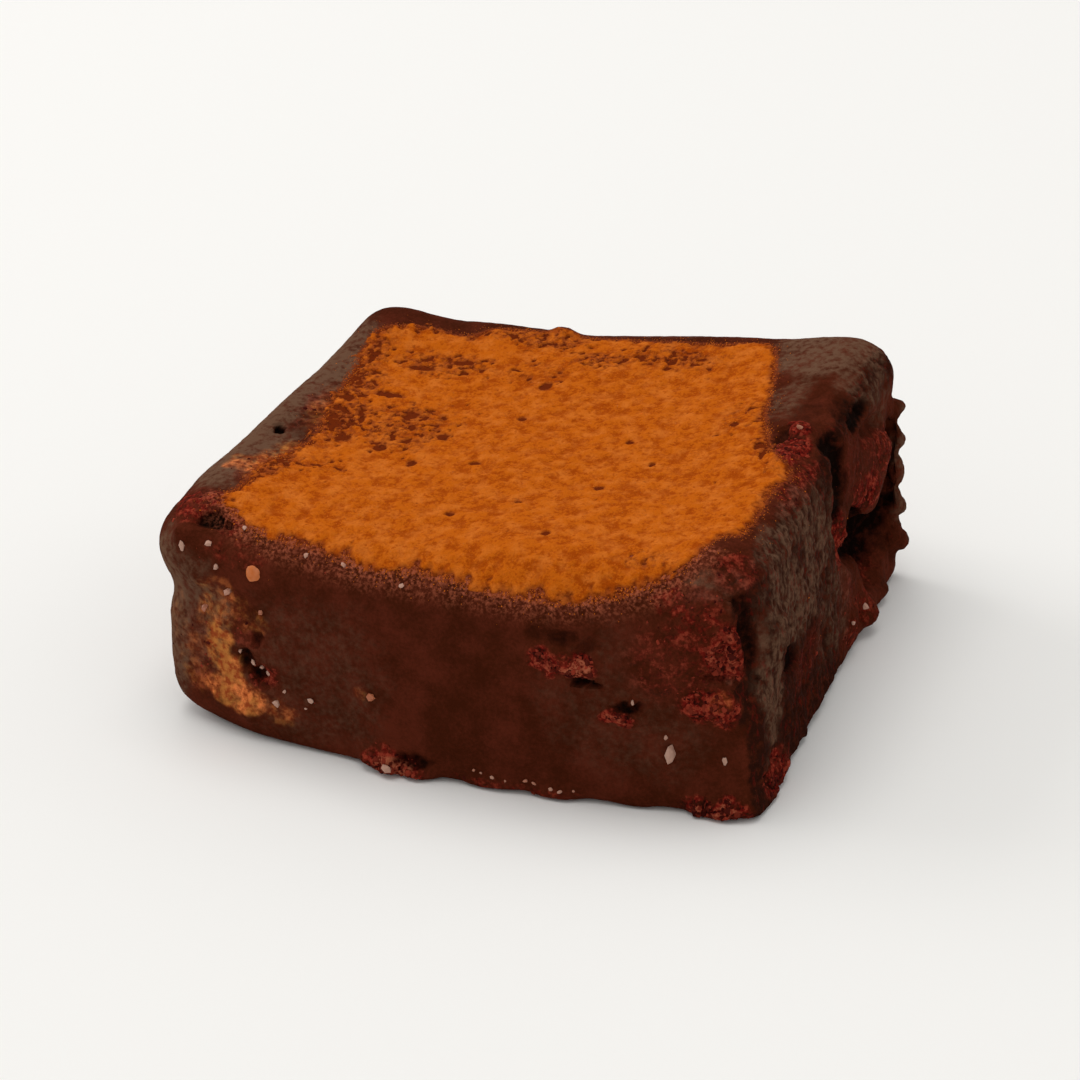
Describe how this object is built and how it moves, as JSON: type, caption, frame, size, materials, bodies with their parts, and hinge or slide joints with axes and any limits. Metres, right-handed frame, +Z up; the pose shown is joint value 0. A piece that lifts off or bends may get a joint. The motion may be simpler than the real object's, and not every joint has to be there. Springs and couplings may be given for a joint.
{
  "type": "brownie",
  "caption": "Square-cut fudge brownie with rolled top edges, a powder-dusted top, smooth cut faces and one torn side with a flake and a hollow.",
  "frame": {"origin": "middle of the flat base", "axes": "+X to the right along the long front cut face, +Y from front to back, +Z up"},
  "size_m": [0.0664, 0.059, 0.0291],
  "materials": {
    "fudge": "dark fudge crumb, matt on the cut faces, with a dusting of orange-brown cocoa powder on the top"
  },
  "bodies": {
    "root": {"brownie": "fudge"}
  },
  "joints": []
}
